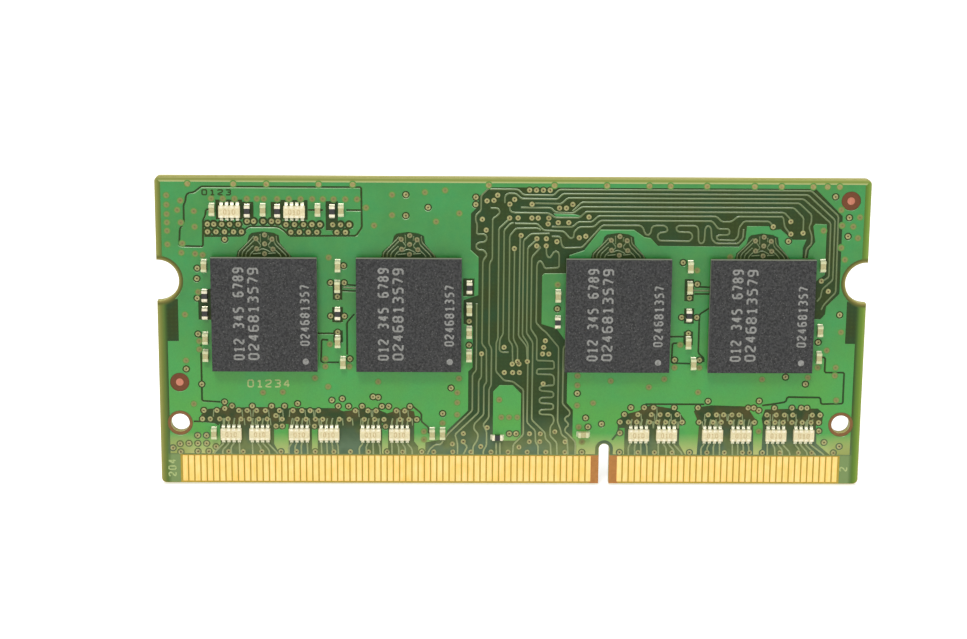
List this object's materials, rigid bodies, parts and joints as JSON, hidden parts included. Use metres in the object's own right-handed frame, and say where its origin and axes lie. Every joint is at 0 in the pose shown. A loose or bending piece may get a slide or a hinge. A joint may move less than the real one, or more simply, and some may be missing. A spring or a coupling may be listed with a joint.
{
  "type": "ram module",
  "caption": "Small-outline memory module: a thin green circuit board with black memory chips on both faces, small passive parts, a keyed gold contact edge and side latch notches.",
  "frame": {"origin": "middle of the insertion edge, half way through the board", "axes": "+X along the insertion edge, +Z from the insertion edge up the board, -Y out of the front face"},
  "size_m": [0.0676, 0.0032, 0.03],
  "materials": {
    "black_resistor": "black glaze over alumina",
    "copper": "bright copper foil",
    "gold": "hard gold plate over nickel, bright",
    "laminate": "woven glass and resin, satin",
    "mould": "fine matt black moulding compound",
    "prepreg": "woven glass and resin, satin",
    "silicon": "polished grey silicon",
    "solder": "satin tin solder",
    "solder_mask": "glossy green film",
    "substrate": "thin green laminate",
    "tan_ceramic": "tan sintered ceramic",
    "tin": "matt tin plate",
    "white_ceramic": "white alumina"
  },
  "bodies": {
    "root": {"alignment_marks_back": "copper", "alignment_marks_front": "copper", "board_core": "laminate", "capacitor_terminals_back": "tin", "capacitor_terminals_front": "tin", "capacitors_back": "tan_ceramic", "capacitors_front": "tan_ceramic", "contacts_back": "gold", "contacts_front": "gold", "ground_plane": "copper", "identity_chip_body": "mould", "identity_chip_leads": "tin", "identity_chip_solder": "solder", "memory_chip_1_balls": "solder", "memory_chip_1_base": "substrate", "memory_chip_1_cover": "mould", "memory_chip_2_balls": "solder", "memory_chip_2_base": "substrate", "memory_chip_2_cover": "mould", "memory_chip_3_balls": "solder", "memory_chip_3_base": "substrate", "memory_chip_3_cover": "mould", "memory_chip_4_balls": "solder", "memory_chip_4_base": "substrate", "memory_chip_4_cover": "mould", "memory_chip_5_balls": "solder", "memory_chip_5_base": "substrate", "memory_chip_5_cover": "mould", "memory_chip_6_balls": "solder", "memory_chip_6_base": "substrate", "memory_chip_6_cover": "mould", "memory_chip_7_balls": "solder", "memory_chip_7_base": "substrate", "memory_chip_7_cover": "mould", "memory_chip_8_balls": "solder", "memory_chip_8_base": "substrate", "memory_chip_8_cover": "mould", "power_plane": "copper", "prepreg_back": "prepreg", "prepreg_front": "prepreg", "resistor_array_terminals_back": "tin", "resistor_array_terminals_front": "tin", "resistor_arrays_back": "white_ceramic", "resistor_arrays_front": "white_ceramic", "resistor_terminals_back": "tin", "resistor_terminals_front": "tin", "resistors_back": "black_resistor", "resistors_front": "black_resistor", "silicon_dies_back": "silicon", "silicon_dies_front": "silicon", "solder_joints_back": "solder", "solder_joints_front": "solder", "solder_mask_back": "solder_mask", "solder_mask_front": "solder_mask"}
  },
  "joints": []
}
